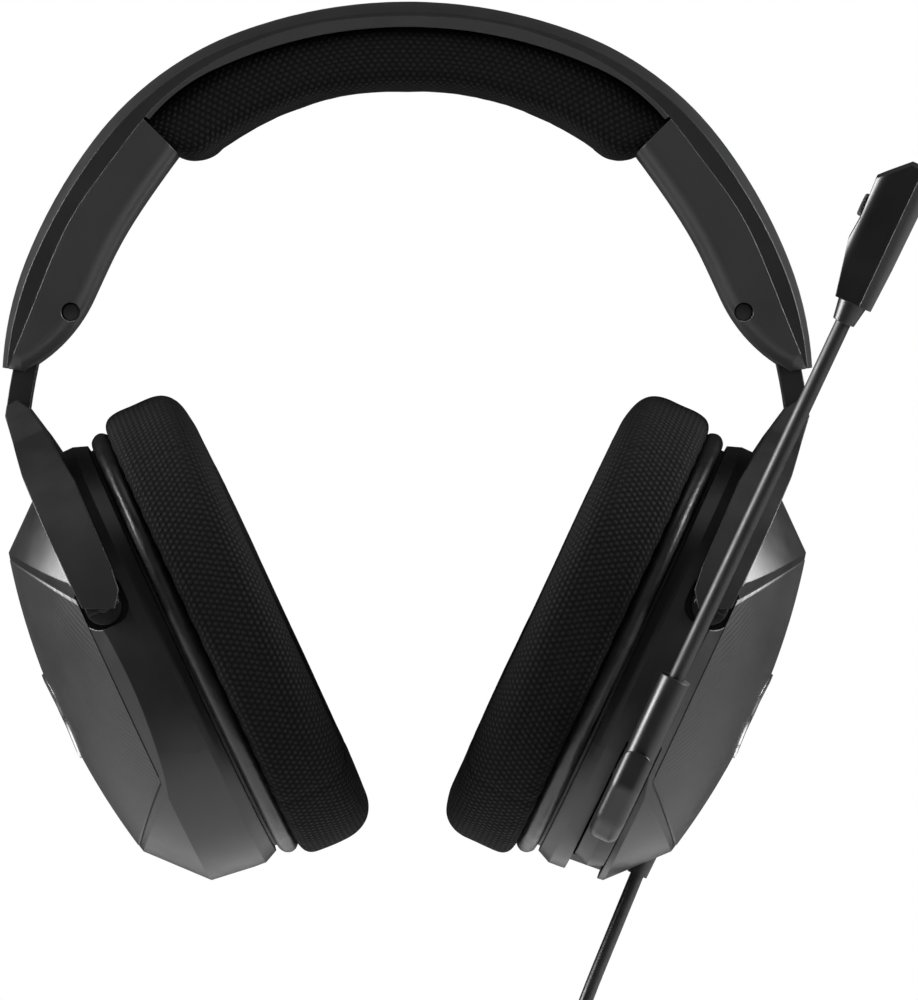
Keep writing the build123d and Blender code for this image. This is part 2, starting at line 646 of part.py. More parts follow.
def mic_boom():
    low, high = boom_height(-17.0) - 8.0, BOOM_TOP_ALONG - 0.2
    boom = Pos((HUB_X[0] + HUB_X[1]) / 2, 0, (low + high) / 2) * Cylinder(BOOM_RADIUS, high - low)
    return cup_place(boom_frame(boom), 1)


def mic_collar():
    """Tapered collar between boom and capsule."""
    mid = (HUB_X[0] + HUB_X[1]) / 2
    collar = Pos(mid, 0, BOOM_TOP_ALONG - 2.6) * Cone(2.45, 3.25, 4.8)
    return cup_place(boom_frame(collar - Pos(mid, 0, BOOM_TOP_ALONG - 2.6) * Cylinder(BOOM_RADIUS, 6)), 1)


def capsule_outline(low_x, high_x):
    """The capsule seen from the front, kept between two distances along the cup's axis."""
    foot = BOOM_TOP_ALONG - 0.2
    points = [(-4.3, 0), (-6.9, 12.0), (-6.5, 17.5), (-7.0, 26.5), (-1.3, 32.2), (1.7, 32.2), (4.6, 24.0),
              (4.4, 9.6), (4.0, 0)]
    face = make_face(Polyline(*points, close=True).edges())
    face &= Pos((low_x + high_x) / 2, 15) * Rectangle(high_x - low_x, 60)
    half = CAPSULE_HALF_DEPTH
    solid = extrude(Pos(0, half, 0) * (Plane.XZ * face), 2 * half, dir=(0, -1, 0))
    return Pos(0, 0, foot) * solid


def round_capsule():
    """Rounded bar that trims the capsule's front and back."""
    foot = BOOM_TOP_ALONG - 0.2
    bar = Pos(-1.2, 0, foot + 16) * Box(13.0, 2 * CAPSULE_HALF_DEPTH, 34)
    return fillet(bar.edges().filter_by(Axis.Z), 3.4)


def mic_capsule():
    """Inner shell of the capsule, hollow for the microphone element."""
    shell = capsule_outline(-8, 1.2) & round_capsule()
    foot = BOOM_TOP_ALONG - 0.2
    shell -= Pos(-1.6, 0, foot + 18.0) * Box(5.4, 5.6, 15.0)
    shell -= Pos(-5.5, 0, foot + 19.8) * Rot(0, 90, 0) * Cylinder(2.6, 4.0)
    return cup_place(boom_frame(shell), 1)


def mic_capsule_cover():
    """Outer shell of the capsule with its long recess."""
    cover = capsule_outline(1.25, 8) & round_capsule()
    foot = BOOM_TOP_ALONG - 0.2
    recess = Pos(5.0, 0, foot + 17.0) * Box(2.4, 3.4, 17.0)
    return cup_place(boom_frame(cover - fillet(recess.edges().filter_by(Axis.X), 1.5)), 1)


def mic_windscreen():
    """Small foam plug over the microphone element, proud of the capsule's inner side."""
    foot = BOOM_TOP_ALONG - 0.2
    plug = Pos(-5.95, 0, foot + 19.8) * Rot(0, 90, 0) * Cylinder(2.55, 2.9)
    return cup_place(boom_frame(plug), 1)


def mic_element():
    foot = BOOM_TOP_ALONG - 0.2
    element = Pos(-2.9, 0, foot + 19.8) * Rot(0, 90, 0) * Cylinder(2.4, 2.6)
    return cup_place(boom_frame(element), 1)


# ---------------------------------------------------------------- cable
def gland_shape(clearance):
    """Tapered strain relief along the cable's first run, in the row frame turned back to the cup."""
    start, second = Vector(*LEAD_ROUTE[0]), Vector(*LEAD_ROUTE[1])
    along = (second - start).normalized()
    base = Plane(origin=start - along * 13.0, z_dir=along)
    cone = base * (Pos(0, 0, 6.5) * Cone(3.1 + clearance, 2.2 + clearance, 13.0))
    cone += base * (Pos(0, 0, 1.0) * Cylinder(3.8 + clearance, 2.0))
    return Rot(0, -CUP_TILT, 0) * Pos(-PIVOT_X, 0, -PIVOT_Z) * cone


def cable_gland():
    return cup_place(gland_shape(0.0) - cable_bore(), 1)


def cable_bore():
    """Bore for the cable's end in the strain relief."""
    start, second = Vector(*LEAD_ROUTE[0]), Vector(*LEAD_ROUTE[1])
    along = (second - start).normalized()
    base = Plane(origin=start - along * 13.0, z_dir=along)
    bore = base * (Pos(0, 0, 6.4) * Cylinder(CABLE_RADIUS * 0.6, 12.6))
    return Rot(0, -CUP_TILT, 0) * Pos(-PIVOT_X, 0, -PIVOT_Z) * bore


def corner_radii(points):
    """Each corner's arc: 0.45 of its shorter run over the tangent of half the turn."""
    radii = []
    for before, corner, after in zip(points, points[1:], points[2:]):
        first = Vector(*corner) - Vector(*before)
        second = Vector(*after) - Vector(*corner)
        half_turn = radians(first.get_angle(second) / 2)
        radii.append(0.45 * min(first.length, second.length) / (sin(half_turn) / cos(half_turn)))
    return radii


def cord_tube(points, name):
    """Round tube of straight runs and tangent arcs; prints its radii and its length."""
    radii = corner_radii(points)
    path = FilletPolyline(*points, radius=radii)
    start = Plane(origin=path @ 0, z_dir=path % 0)
    tube = sweep(start * Circle(CABLE_RADIUS), path=path)
    expected = pi * CABLE_RADIUS**2 * path.length
    print(name, "radii", [round(r, 1) for r in radii], "length", round(path.length, 1),
          "volume over section times length", round(tube.volume / expected, 4))
    return tube


def coil_section(margin):
    half_build = COIL_HALF_BUILD + margin
    half_width = COIL_HALF_WIDTH + margin
    face = Pos(COIL_MIDDLE, 0) * RectangleRounded(2 * half_build, 2 * half_width, 1.2)
    return Pos(*COIL_CENTRE) * revolve(face, axis=Axis.Y)


def cable_tie():
    """Strap round the coil's top."""
    low = COIL_MIDDLE - COIL_HALF_BUILD - 1.0
    high = COIL_MIDDLE + COIL_HALF_BUILD + 1.0
    wide = COIL_HALF_WIDTH + 1.0
    strap = Pos(*COIL_CENTRE) * block((-4.0, -wide, low), (4.0, wide, high))
    return strap - coil_section(0.05)


def plug_place(shape, drop):
    """Put a shape under the tail's end."""
    x, y, z = TAIL_ROUTE[-1]
    return Pos(x, y, z - drop) * shape


def plug_body():
    """Moulded plug sleeve with a tapered neck."""
    neck = plug_place(Cone(PLUG_RADIUS - 0.6, 2.0, 5.0), 2.5)
    sleeve = plug_place(Cylinder(PLUG_RADIUS, PLUG_BODY - 5.0), 5.0 + (PLUG_BODY - 5.0) / 2)
    return neck + fillet(sleeve.edges().filter_by(GeomType.CIRCLE), 0.6)


def plug_shaft():
    """Metal contact pin of four poles with a tapered tip."""
    shaft = plug_place(Cylinder(PLUG_SHAFT_RADIUS, PLUG_SHAFT - 1.6), PLUG_BODY + (PLUG_SHAFT - 1.6) / 2)
    tip = plug_place(Cone(0.7, PLUG_SHAFT_RADIUS, 1.6), PLUG_BODY + PLUG_SHAFT - 0.8)
    return shaft + tip


# ---------------------------------------------------------------- the whole object
def build():
    NODES["headband_shell"] = headband_shell()
    NODES["base_plate"] = base_plate()
    NODES["headband_pad"] = headband_pad()
    NODES["headband_wire"] = headband_wire()
    NODES["cover_screws"] = cover_screws()
    paired = [end_cover, slider_guide, detent_spring, slider_band, band_rivets, fork_yoke, cup_housing,
              outer_plate, emblem_ring, pivot_pins, baffle_plate, baffle_screws, driver,
              driver_diaphragm, acoustic_cloth, cushion_frame, cushion_piping, ear_cushion]
    for side in (1, -1):
        for make in paired:
            NODES[f"{make.__name__}_{side_name(side)}"] = make(side)
    single = [circuit_board, volume_wheel, wheel_shaft, mic_arm, mic_pivot_pin, mic_boom, mic_collar,
              mic_capsule, mic_capsule_cover, mic_windscreen, mic_element, cable_gland, cable_tie,
              plug_body, plug_shaft]
    for make in single:
        NODES[make.__name__] = make()
    NODES["cable_lead"] = cord_tube(LEAD_ROUTE, "lead")
    NODES["cable_coil"] = coil_section(0.0)
    NODES["cable_tail"] = cord_tube(TAIL_ROUTE, "tail")


build()
os.makedirs("parts", exist_ok=True)
for node_name, node_shape in NODES.items():
    export_step(node_shape, f"parts/{node_name}.step")
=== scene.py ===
import json
import math

import bmesh
import bpy
import numpy as np
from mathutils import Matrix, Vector


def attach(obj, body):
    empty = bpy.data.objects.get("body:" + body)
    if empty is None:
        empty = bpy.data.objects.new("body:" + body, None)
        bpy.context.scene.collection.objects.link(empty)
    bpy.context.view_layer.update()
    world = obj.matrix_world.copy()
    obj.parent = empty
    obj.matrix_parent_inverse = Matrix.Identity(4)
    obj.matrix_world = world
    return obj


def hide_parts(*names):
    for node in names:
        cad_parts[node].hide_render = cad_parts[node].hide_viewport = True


# A gaming headset. Blender's metres are the shared frame; shapes are drawn in millimetres and scaled by MM.
MM = 0.001
SIDES = {"left": 1, "right": -1}
TILT = math.radians(25)             # how far the cups lean inwards
PIVOT = (65.1, -112.0)              # X and Z of a cup's pivot line
CUP_CENTRE = -15.4                  # middle of the cup, below its pivot
BOOM_LEAN = math.radians(8)         # the raised boom leans forward
BOOM_FOOT = (-45.3, -26.0)          # Y and Z of a point on the boom's line, in the cup's frame
DENSE = 1440                        # points of a section before it is spaced evenly

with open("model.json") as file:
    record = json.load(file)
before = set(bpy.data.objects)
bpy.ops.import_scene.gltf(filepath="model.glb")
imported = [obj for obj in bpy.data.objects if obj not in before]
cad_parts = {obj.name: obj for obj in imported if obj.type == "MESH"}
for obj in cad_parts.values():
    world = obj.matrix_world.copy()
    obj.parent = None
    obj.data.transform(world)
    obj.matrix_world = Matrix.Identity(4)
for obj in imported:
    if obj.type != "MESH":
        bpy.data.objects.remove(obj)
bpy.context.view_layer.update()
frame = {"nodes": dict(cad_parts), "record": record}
nodes = frame["nodes"]
scene = bpy.context.scene


# ---------------------------------------------------------------- places and meshes
def cup_place(points, side):
    """Points of a cup's own frame in millimetres, placed in the shared frame in metres."""
    p = np.asarray(points, float)
    x = PIVOT[0] + p[..., 0] * math.cos(TILT) + p[..., 2] * math.sin(TILT)
    z = PIVOT[1] - p[..., 0] * math.sin(TILT) + p[..., 2] * math.cos(TILT)
    return np.stack([side * x, p[..., 1], z], -1) * MM


def boom_place(points):
    """Points about the boom's line, placed in the cup's own frame."""
    p = np.asarray(points, float)
    y = p[..., 1] * math.cos(BOOM_LEAN) - p[..., 2] * math.sin(BOOM_LEAN) + BOOM_FOOT[0]
    z = p[..., 1] * math.sin(BOOM_LEAN) + p[..., 2] * math.cos(BOOM_LEAN) + BOOM_FOOT[1]
    return np.stack([p[..., 0], y, z], -1)


SIDE_ROUND = 1.5                    # radius of an oval's long sides, over its half height


def oval(half_depth, half_height, count):
    """Evenly spaced points of the cups' oval of four arcs, in Y and Z about its centre."""
    side_r = SIDE_ROUND * half_height
    shift = side_r - half_depth
    end_r = (side_r**2 - shift**2 - half_height**2) / (2 * (side_r - half_height))
    turn = math.atan2(half_height - end_r, shift)
    dense = []
    for quarter in range(4):
        flip_y = 1 if quarter in (0, 3) else -1
        flip_z = 1 if quarter < 2 else -1
        side_arc = [(side_r * math.cos(a) - shift, side_r * math.sin(a))
                    for a in np.linspace(0, turn, 120)]
        end_arc = [(end_r * math.cos(a), half_height - end_r + end_r * math.sin(a))
                   for a in np.linspace(turn, math.pi / 2, 120)]
        arc = np.array(side_arc + end_arc[1:])
        if flip_y * flip_z < 0:
            arc = arc[::-1]
        dense.append(arc * (flip_y, flip_z))
    loop = np.concatenate([part[:-1] for part in dense])
    return even(loop, count, closed=True)


def running(steps):
    """Distance from the start at each point, from the lengths of the steps between them."""
    return np.concatenate([[0], np.cumsum(steps)])


def even(points, count, closed=False):
    """Points spaced evenly along a line."""
    p = np.asarray(points, float)
    if closed:
        p = np.vstack([p, p[:1]])
    along = running(np.linalg.norm(np.diff(p, axis=0), axis=1))
    wanted = np.linspace(0, along[-1], count + 1)[:-1] if closed else np.linspace(0, along[-1], count)
    return np.stack([np.interp(wanted, along, p[:, i]) for i in range(p.shape[1])], -1)


def signed_power(values, power):
    """Values raised to a power that keep their signs."""
    return np.sign(values) * np.abs(values) ** power


def unit(vectors):
    """Rows scaled to length 1."""
    return vectors / np.linalg.norm(vectors, axis=1, keepdims=True)


def smooth_noise(u, v, seed, waves=14, low=1, high=6):
    """Gentle bumps over a sheet that closes on itself, about -1 to 1; u and v run from 0 to 1."""
    rng = np.random.default_rng(seed)
    total = np.zeros(np.broadcast(u, v).shape)
    for _ in range(waves):
        a, b = rng.integers(low, high + 1, 2)
        phase = rng.uniform(0, 2 * math.pi, 2)
        total = total + np.sin(2 * math.pi * a * u + phase[0]) * np.sin(2 * math.pi * b * v + phase[1])
    return total / math.sqrt(waves)


def cloth_places(along, around):
    """Places of a grid's points on flat cloth, in millimetres, from a distance for each row and column."""
    return np.stack(np.broadcast_arrays(along[:, None], around[None, :]), -1).copy()


def grid_mesh(name, points, uv=None, close_u=True, close_v=True):
    """Mesh over a grid of points, [u, v, 3] in metres. uv is [nu + 1, nv + 1, 2], in millimetres of cloth."""
    nu, nv = points.shape[:2]
    rows, columns = np.arange(nu if close_u else nu - 1), np.arange(nv if close_v else nv - 1)
    a, b = np.meshgrid(rows, columns, indexing="ij")
    c, d = (a + 1) % nu, (b + 1) % nv
    quads = np.stack([a * nv + b, c * nv + b, c * nv + d, a * nv + d], -1).reshape(-1, 4)
    mesh = bpy.data.meshes.new(name)
    mesh.from_pydata(points.reshape(-1, 3).tolist(), [], quads.tolist())
    if uv is not None:
        corners = np.stack([uv[a, b], uv[a + 1, b], uv[a + 1, b + 1], uv[a, b + 1]], 2)
        layer = mesh.uv_layers.new(name="cloth")
        layer.data.foreach_set("uv", corners.astype(np.float32).ravel())
    mesh.polygons.foreach_set("use_smooth", [True] * len(mesh.polygons))
    piece = bpy.data.objects.new(name, mesh)
    scene.collection.objects.link(piece)
    return piece


def outward(piece):
    """Turn a closed mesh's faces to point out."""
    work = bmesh.new()
    work.from_mesh(piece.data)
    bmesh.ops.recalc_face_normals(work, faces=work.faces)
    work.to_mesh(piece.data)
    work.free()
    return piece


def cap_sides(piece, count, across, uv=None):
    """Close a ring of count rows that is open across with a face over its first and its last column."""
    work = bmesh.new()
    work.from_mesh(piece.data)
    work.verts.ensure_lookup_table()
    for column in (0, across - 1):
        face = work.faces.new([work.verts[row * across + column] for row in range(count)])
        if uv is not None:
            layer = work.loops.layers.uv.active
            for corner in face.loops:
                corner[layer].uv = tuple(uv[corner.vert.index // across, column])
    work.to_mesh(piece.data)
    work.free()


# ---------------------------------------------------------------- camera
VIEW_HEIGHT = 0.21739
VIEW_CENTRE = (0.01122, -0.08913)   # X and Z
CAMERA_DISTANCE = 3.0
SENSOR = 36
camera = bpy.data.objects.new("camera", bpy.data.cameras.new("camera"))
scene.collection.objects.link(camera)
camera.location = (VIEW_CENTRE[0], -CAMERA_DISTANCE, VIEW_CENTRE[1])
camera.rotation_euler = (math.radians(90), 0, 0)
camera.data.sensor_width = SENSOR
camera.data.lens = SENSOR * CAMERA_DISTANCE / VIEW_HEIGHT
camera.data.clip_start = 0.1
camera.data.clip_end = 100
scene.camera = camera

# ---------------------------------------------------------------- cable
CABLE_RADIUS = 1.5
COIL_CENTRE = (31.0, -255.7)
COIL_START = math.radians(135)
TURN_POINTS = 12
CROSSING_POINTS = 3                 # points at a turn's end that cross over to the next one
SPLINE_CUT = 0.9667                 # how far the spline runs inside a coil's control points
# Control points from the strain relief to the coil, and from the coil to the plug.
LEAD = [(49.9, 0, -170.6), (46.2, 0, -179.6), (37.0, 0, -202.0), (32.6, -0.9, -218.0),
        (27.2, -2.4, -230.5)]
TAIL = [(24.2, -8.4, -244.7), (18.4, -8.6, -247.9), (16.2, -9.7, -255.5), (16.8, -11.6, -262.3),
        (16.8, -11.6, -266.0)]
ROWS = (-4.65, -1.55, 1.55, 4.65)   # Y of the coil's rows of turns
LAYERS = (20.4, 17.3, 14.2)         # radii of the coil's layers of turns
TURNS = ([(LAYERS[0], y) for y in ROWS] + [(LAYERS[1], y) for y in ROWS[::-1]]
         + [(LAYERS[2], y) for y in ROWS[:2]])
# Radius and Y of the points that bring the inner end forward.
UNWOUND = [(12.9, 1.5), (11.0, 0.9), (10.4, -0.2), (10.2, -1.5), (10.2, -2.9), (10.2, -4.4),
           (10.2, -5.9), (10.2, -7.2), (10.2, -8.0), (10.4, -8.3), (10.6, -8.4)]


def coil_points():
    """Control points of the coil: turns side by side in layers, then the inner end brought forward."""
    points = []
    places = TURNS + [(LAYERS[2], ROWS[2])]
    for (radius, y), (next_radius, next_y) in zip(places, places[1:]):
        for k in range(TURN_POINTS):
            crossing = max(0.0, (k - TURN_POINTS + CROSSING_POINTS) / CROSSING_POINTS)
            points.append((COIL_START + k * 2 * math.pi / TURN_POINTS,
                           (radius + (next_radius - radius) * crossing) / SPLINE_CUT,
                           y + (next_y - y) * crossing))
    for k, (radius, y) in enumerate(UNWOUND):
        points.append((COIL_START + k * 2 * math.pi / TURN_POINTS, radius, y))
    return [(COIL_CENTRE[0] + r * math.cos(a), y, COIL_CENTRE[1] + r * math.sin(a)) for a, r, y in points]


def curve_piece(name, points, radius):
    """Round tube along a NURBS spline, drawn in millimetres.

    A curve's bounds count the radius of its points, so they hold the tube's radius and the bevel is 1.
    """
    curve = bpy.data.curves.new(name, "CURVE")
    curve.dimensions = "3D"
    spline = curve.splines.new("NURBS")
    spline.points.add(len(points) - 1)
    for point, place in zip(spline.points, points):
        point.co = (*[c * MM for c in place], 1)
        point.radius = radius * MM
    spline.order_u = 3
    spline.use_endpoint_u = True
    curve.resolution_u = 6
    curve.bevel_depth = 1.0
    curve.bevel_resolution = 6
    curve.use_fill_caps = True
    piece = bpy.data.objects.new(name, curve)
    scene.collection.objects.link(piece)
    return piece


cable = curve_piece("cable", LEAD + coil_points() + TAIL, CABLE_RADIUS)
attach(cable, "cup_left")
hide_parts("cable_lead", "cable_coil", "cable_tail")

STRAP_BOX = (6.5, 4.9, 1.4)         # half width, half height and corner of the strap's inside
STRAP_HALF_WIDTH = 3.9
STRAP_THICK = 0.75
LAP_THICK = 0.5
LAP_PLACE = 0.62                    # middle of the lapped end, round the strap from 0 to 1
LAP_HALF = 0.14


def rounded_box(half_wide, half_high, corner):
    """Outline of a box with round corners."""
    turn = np.linspace(0, math.pi / 2, 12)
    quarter = np.stack([half_wide - corner + corner * np.cos(turn),
                        half_high - corner + corner * np.sin(turn)], -1)
    sides = [quarter, quarter[::-1] * (-1, 1), quarter * (-1, -1), quarter[::-1] * (1, -1)]
    return np.vstack(sides)


def cable_tie():
    """Woven hook-and-loop strap round the coil's top, with rounded corners and a lapped end."""
    count, across = 160, 13
    inner = even(rounded_box(*STRAP_BOX), count, closed=True)
    u = np.arange(count)[:, None] / count
    v = np.linspace(-1, 1, across)[None, :]
    sag = 0.06 * smooth_noise(u, v * 0.2, 83, low=1, high=7)
    from_lap = np.abs(u - LAP_PLACE)
    lap = np.clip(1 - from_lap / LAP_HALF, 0, 1) ** 0.25 * (from_lap < LAP_HALF)
    normal = np.roll(inner, -1, axis=0) - np.roll(inner, 1, axis=0)
    normal = unit(np.stack([normal[:, 1], -normal[:, 0]], -1))
    layers = []
    for depth in (0.0, 1.0):
        lift = depth * (STRAP_THICK + LAP_THICK * lap) + sag
        half_width = STRAP_HALF_WIDTH - 0.15 * depth
        layers.append(np.stack(np.broadcast_arrays(
            v * half_width, inner[:, None, 0] + lift * normal[:, None, 0],
            inner[:, None, 1] + lift * normal[:, None, 1]), -1))
    loop = np.concatenate([layers[0], layers[1][:, ::-1]], axis=1)
    points = loop + np.array([COIL_CENTRE[0], 0.0, COIL_CENTRE[1] + LAYERS[1]])
    piece = outward(grid_mesh("cable_strap", points * MM))
    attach(piece, "cup_left")
    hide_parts("cable_tie")
    return piece


strap_piece = cable_tie()


# ---------------------------------------------------------------- materials
class Material:
    """A procedural material: a Principled shader with a few shortcuts for its nodes."""

    def __init__(self, name, rough, metallic=0.0, **constants):
        self.made = bpy.data.materials.new(name)
        self.made.use_nodes = True
        self.tree = self.made.node_tree
        self.shader = self.tree.nodes["Principled BSDF"]
        self.shader.inputs["Roughness"].default_value = rough
        self.shader.inputs["Metallic"].default_value = metallic
        for socket, value in constants.items():
            self.shader.inputs[socket.replace("_", " ")].default_value = value
        self.place = self.tree.nodes.new("ShaderNodeTexCoord").outputs["Object"]
        self.height = None

    def set(self, socket, value):
        if isinstance(value, (int, float)):
            socket.default_value = value
        else:
            self.tree.links.new(value, socket)

    def math(self, operation, a, b=0.0):
        node = self.tree.nodes.new("ShaderNodeMath")
        node.operation = operation
        self.set(node.inputs[0], a)
        self.set(node.inputs[1], b)
        return node.outputs[0]

    def vector_math(self, operation, scale):
        """Vector math node over the piece's coordinates and a constant vector."""
        node = self.tree.nodes.new("ShaderNodeVectorMath")
        node.operation = operation
        self.tree.links.new(self.place, node.inputs[0])
        node.inputs[1].default_value = scale
        return node

    def stretch(self, scale):
        """Coordinates times a scale along each axis."""
        return self.vector_math("MULTIPLY", scale).outputs[0]

    def along(self, direction):
        """Distance in millimetres along a direction of the shared frame."""
        return self.vector_math("DOT_PRODUCT", [c / MM for c in direction]).outputs["Value"]

    def noise(self, size, detail, vector=None, rough=0.5):
        """Noise from 0 to 1 whose features are about size millimetres across."""
        node = self.tree.nodes.new("ShaderNodeTexNoise")
        node.inputs["Scale"].default_value = 1 / (size * MM)
        node.inputs["Detail"].default_value = detail
        node.inputs["Roughness"].default_value = rough
        self.tree.links.new(vector or self.place, node.inputs["Vector"])
        return node.outputs[0]

    def cells(self, size, random=1.0):
        """Distance from the middle of the nearest cell, for cells about size millimetres across."""
        node = self.tree.nodes.new("ShaderNodeTexVoronoi")
        node.inputs["Scale"].default_value = 1 / (size * MM)
        node.inputs["Randomness"].default_value = random
        self.tree.links.new(self.place, node.inputs["Vector"])
        return node.outputs["Distance"]

    def ramp(self, value, low, high, to_low, to_high, smooth=False):
        """Value carried from the range low to high to another range."""
        node = self.tree.nodes.new("ShaderNodeMapRange")
        node.interpolation_type = "SMOOTHSTEP" if smooth else "LINEAR"
        self.set(node.inputs[0], value)
        for socket, number in zip((1, 2, 3, 4), (low, high, to_low, to_high)):
            node.inputs[socket].default_value = number
        return node.outputs[0]

    def colour(self, factor, first, second):
        """Base colour between two colours, by a factor from 0 to 1."""
        node = self.tree.nodes.new("ShaderNodeMix")
        node.data_type = "RGBA"
        self.set(node.inputs[0], factor)
        node.inputs[6].default_value = (*first, 1)
        node.inputs[7].default_value = (*second, 1)
        self.tree.links.new(node.outputs[2], self.shader.inputs["Base Color"])

    def roughness(self, value):
        self.tree.links.new(value, self.shader.inputs["Roughness"])

    def bump(self, height, depth, strength=1.0, edge=None):
        """Bump of a depth in millimetres, on top of any bump before, over edges rounded by a radius."""
        node = self.tree.nodes.new("ShaderNodeBump")
        node.inputs["Strength"].default_value = strength
        node.inputs["Distance"].default_value = depth * MM
        self.tree.links.new(height, node.inputs["Height"])
        if edge:
            rounded = self.tree.nodes.new("ShaderNodeBevel")
            rounded.samples = 4
            rounded.inputs["Radius"].default_value = edge * MM
            self.tree.links.new(rounded.outputs[0], node.inputs["Normal"])
        elif self.height is not None:
            self.tree.links.new(self.height, node.inputs["Normal"])
        self.height = node.outputs[0]
        self.tree.links.new(self.height, self.shader.inputs["Normal"])

    def dots(self, pitch, row, radius):
        """Height of staggered raised dots on the cloth's own UVs, from 0 to 1."""
        uv = self.tree.nodes.new("ShaderNodeUVMap")
        uv.uv_map = "cloth"
        split = self.tree.nodes.new("ShaderNodeSeparateXYZ")
        self.tree.links.new(uv.outputs[0], split.inputs[0])
        rows = self.math("DIVIDE", split.outputs[1], row)
        parity = self.math("MULTIPLY", self.math("FLOORED_MODULO", self.math("FLOOR", rows), 2.0), 0.5)
        columns = self.math("ADD", self.math("DIVIDE", split.outputs[0], pitch), parity)
        du = self.math("MULTIPLY", self.math("SUBTRACT", self.math("FRACT", columns), 0.5), pitch)
        dv = self.math("MULTIPLY", self.math("SUBTRACT", self.math("FRACT", rows), 0.5), row)
        square = self.math("ADD", self.math("MULTIPLY", du, du), self.math("MULTIPLY", dv, dv))
        return self.ramp(self.math("SQRT", square), radius * 0.35, radius, 1.0, 0.0, smooth=True)


def grey(value, cool=1.03):
    """Grey with a little more blue than red and green."""
    return (value, value, value * cool)


MOTTLE = (30, 4)                    # size in millimetres and detail of plastic's faint change in tone
ROUGH_MOTTLE = (9, 5)               # the same for its roughness
MOULD_GRAIN = (0.22, 2)             # the same for the grain left by its mould
GRAIN_DEPTH = 0.012
EDGE_ROUND = 0.35


def satin(name, tone, rough):
    """Moulded plastic: a faint mottle, a fine spark-eroded grain and slightly rounded edges."""
    m = Material(name, rough)
    m.colour(m.noise(*MOTTLE), grey(tone * 0.86), grey(tone * 1.14))
    m.roughness(m.ramp(m.noise(*ROUGH_MOTTLE), 0.3, 0.7, rough - 0.035, rough + 0.045))
    m.bump(m.noise(*MOULD_GRAIN), GRAIN_DEPTH, edge=EDGE_ROUND)
    return m


DOT_RADIUS = 0.56


def knit(name, pitch, row, tone):
    """Black knit with raised dots in staggered rows, patchy in tone; the gaps between the dots are painted
    darker as painted shade and the dots lighter as painted highlight.
    """
    m = Material(name, 0.92, Specular_IOR_Level=0.16)
    dots = m.dots(pitch, row, DOT_RADIUS)
    patchy = m.ramp(m.noise(1.6, 3), 0.3, 0.75, 0.25, 1.0)
    # painted shade and highlight: the colour follows the dots' height, dark in the gaps and light on the
    # raised dots, times a random patchy tone
    m.colour(m.math("MULTIPLY", dots, patchy), grey(tone * 0.3, 1.0), grey(tone * 1.5, 1.0))
    m.roughness(m.ramp(dots, 0, 1, 0.97, 0.78))
    m.bump(m.noise(0.16, 3, rough=0.7), 0.06)
    m.bump(dots, 0.2)
    return m


shell_plastic = satin("shell_plastic", 0.012, 0.38)
trim_plastic = satin("trim_plastic", 0.026, 0.46)
cover_plastic = satin("cover_plastic", 0.028, 0.4)
inner_plastic = satin("inner_plastic", 0.014, 0.5)
fork_plastic = satin("fork_plastic", 0.005, 0.42)
cup_plastic = satin("cup_plastic", 0.006, 0.36)
mic_plastic = satin("mic_plastic", 0.007, 0.34)
mic_cover_plastic = satin("mic_cover_plastic", 0.036, 0.4)
wheel_plastic = satin("wheel_plastic", 0.02, 0.48)
cushion_fabric = knit("cushion_fabric", 1.41, 1.2, 0.0048)
pad_fabric = knit("pad_fabric", 1.55, 1.05, 0.0048)

LINE_SLANT = (0.888, 0.46)          # direction across the plates' moulded lines
LINE_PITCH = 0.92


def plate_material(side):
    """The outer plates' satin plastic with fine slanted lines moulded in, strongest in the middle."""
    m = Material("plate_plastic_" + ("left" if side > 0 else "right"), 0.42)
    c, s = math.cos(TILT), math.sin(TILT)
    up = (side * s, 0, c)
    height = m.math("ADD", m.along(up), -PIVOT[1] * c - PIVOT[0] * s)
    depth = m.along((0, 1, 0))
    slant = m.math("SUBTRACT", m.math("MULTIPLY", depth, LINE_SLANT[0]),
                   m.math("MULTIPLY", height, LINE_SLANT[1]))
    wave = m.math("PINGPONG", m.math("DIVIDE", slant, LINE_PITCH), 0.5)
    ridge = m.ramp(wave, 0.06, 0.3, 0.0, 1.0, smooth=True)
    from_middle = m.math("ABSOLUTE", m.math("SUBTRACT", height, CUP_CENTRE))
    fade = m.ramp(from_middle, 12, 31, 1, 0, smooth=True)
    lines = m.math("MULTIPLY", ridge, fade)
    m.colour(m.noise(*MOTTLE), grey(0.010), grey(0.014))
    m.roughness(m.ramp(m.noise(*ROUGH_MOTTLE), 0.3, 0.7, 0.39, 0.46))
    m.bump(m.noise(*MOULD_GRAIN), GRAIN_DEPTH, edge=EDGE_ROUND)
    m.bump(lines, 0.03)
    return m


def leatherette():
    """Black coated fabric: fine pebbles over slow waves."""
    m = Material("piping_leatherette", 0.36, Coat_Weight=0.12, Coat_Roughness=0.3)
    m.colour(m.noise(6, 4), grey(0.003), grey(0.006))
    m.roughness(m.ramp(m.noise(3, 4), 0.3, 0.7, 0.3, 0.44))
    m.bump(m.cells(0.55), 0.035)
    m.bump(m.noise(2.2, 3), 0.12, 0.5)
    return m


def metal(name, tone, rough, direction):
    """Metal with a fine brushed grain along a direction."""
    m = Material(name, rough, 1.0)
    grain = m.noise(0.3, 4, m.stretch(direction))
    dark, light = (tone * 0.8, tone * 0.8, tone * 0.82), (tone * 1.1, tone * 1.08, tone * 1.06)
    m.colour(grain, dark, light)
    m.roughness(m.ramp(grain, 0.3, 0.7, rough - 0.05, rough + 0.08))
    m.bump(grain, 0.006)
    return m


def rubber(name, tone, rough):
    """Soft black rubber with a slight unevenness."""
    m = Material(name, rough)
    m.colour(m.noise(12, 4), grey(tone * 0.8), grey(tone * 1.2))
    m.roughness(m.ramp(m.noise(4, 4), 0.3, 0.7, rough - 0.05, rough + 0.06))
    m.bump(m.noise(0.5, 3), 0.02)
    return m


